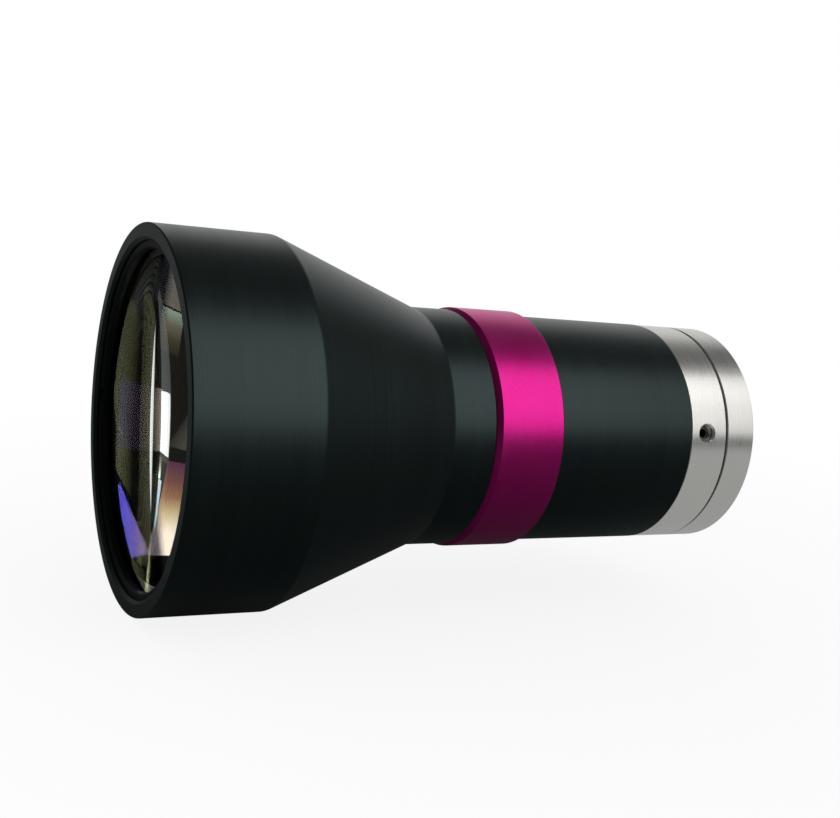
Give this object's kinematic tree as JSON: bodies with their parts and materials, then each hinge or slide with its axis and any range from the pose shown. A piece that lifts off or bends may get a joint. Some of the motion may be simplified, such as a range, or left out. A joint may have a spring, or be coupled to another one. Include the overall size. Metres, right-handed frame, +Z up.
{
  "type": "telecentric lens",
  "caption": "Bi-telecentric machine vision lens with a flared front housing, a coloured ring, a slim barrel and a threaded camera mount that turns in its collar.",
  "frame": {"origin": "centre of the flange that the camera body stops on, on the optical axis", "axes": "+X along the optical axis from the front glass to the camera, +Z up as in the picture"},
  "size_m": [0.1112, 0.0604, 0.0604],
  "materials": {
    "black_anodised": "turned aluminium, black anodised, satin",
    "magenta_anodised": "bead blasted aluminium, magenta anodised",
    "turned_aluminium": "fine turned aluminium, clear anodised",
    "black_inner": "turned aluminium, matt black anodised",
    "black_steel": "alloy steel, black oxide",
    "front_glass": "polished optical glass with an antireflection coating",
    "objective_glass": "polished optical glass with an antireflection coating",
    "relay_glass": "polished optical glass with an antireflection coating"
  },
  "bodies": {
    "lens": {"front_housing": "black_anodised", "front_retaining_ring": "black_inner", "front_element": "front_glass", "front_spacer": "black_inner", "objective_crown": "objective_glass", "objective_flint": "objective_glass", "light_baffle": "black_inner", "accent_ring": "magenta_anodised", "rear_barrel": "black_anodised", "lens_cell": "black_inner", "aperture_stop": "black_inner", "stop_retainer": "black_inner", "relay_meniscus": "relay_glass", "relay_spacer_front": "black_inner", "relay_crown": "relay_glass", "relay_flint": "relay_glass", "relay_spacer_rear": "black_inner", "relay_biconvex": "relay_glass", "relay_retaining_ring": "black_inner", "mount_collar": "turned_aluminium", "mount_set_screw_1": "black_steel", "mount_set_screw_2": "black_steel", "mount_set_screw_3": "black_steel", "cell_lock_screw_1": "black_steel", "cell_lock_screw_2": "black_steel", "cell_lock_screw_3": "black_steel"},
    "mount": {"camera_mount": "turned_aluminium", "rear_baffle": "black_inner"}
  },
  "joints": [
    {"name": "mount_turn", "type": "hinge", "parent": "lens", "child": "mount", "pos_m": [-0.011, 0, 0], "axis": [1, 0, 0], "continuous": true}
  ]
}
